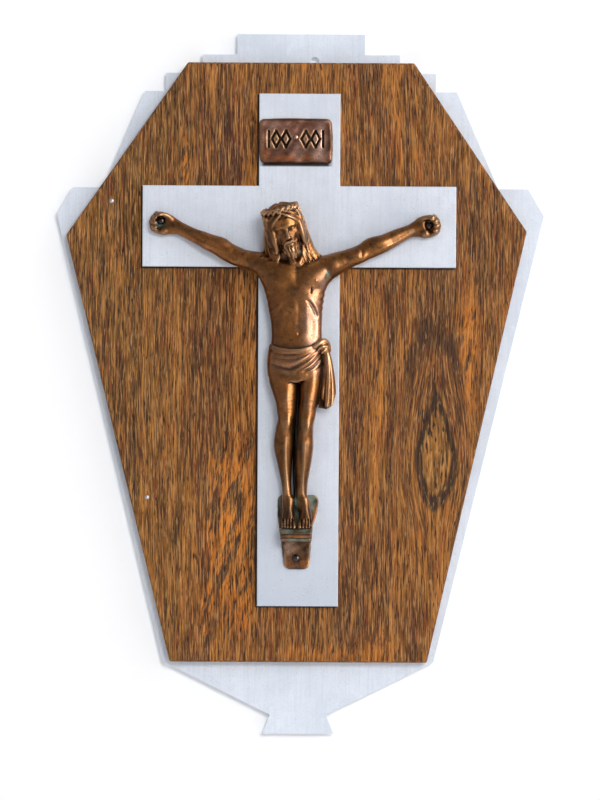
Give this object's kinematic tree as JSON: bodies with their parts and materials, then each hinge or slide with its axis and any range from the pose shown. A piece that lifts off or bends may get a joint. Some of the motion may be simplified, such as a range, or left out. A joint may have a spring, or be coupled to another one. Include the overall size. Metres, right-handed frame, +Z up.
{
  "type": "wall crucifix",
  "caption": "Wall crucifix: stepped metal back plate, hardwood board, flat metal cross, and a cast bronze figure with a blank name plaque and a foot rest.",
  "frame": {"origin": "middle of the hanging hole, on the rear face of the back plate", "axes": "+Z up the cross, +X to the right seen from the front, +Y into the wall"},
  "size_m": [0.2786, 0.0514, 0.4],
  "materials": {
    "back_plate": "satin",
    "board": "satin varnish",
    "cross": "satin",
    "bronze": "worn brown patina",
    "steel": "plain"
  },
  "bodies": {
    "root": {"back_plate": "back_plate", "board": "board", "cross": "cross", "titulus": "bronze", "titulus_rivet": "bronze", "corpus": "bronze", "left_hand_nail": "bronze", "right_hand_nail": "bronze", "foot_rest": "bronze", "foot_rest_nail": "bronze", "cross_screws": "steel", "plate_screws": "steel", "board_pins": "steel"}
  },
  "joints": []
}
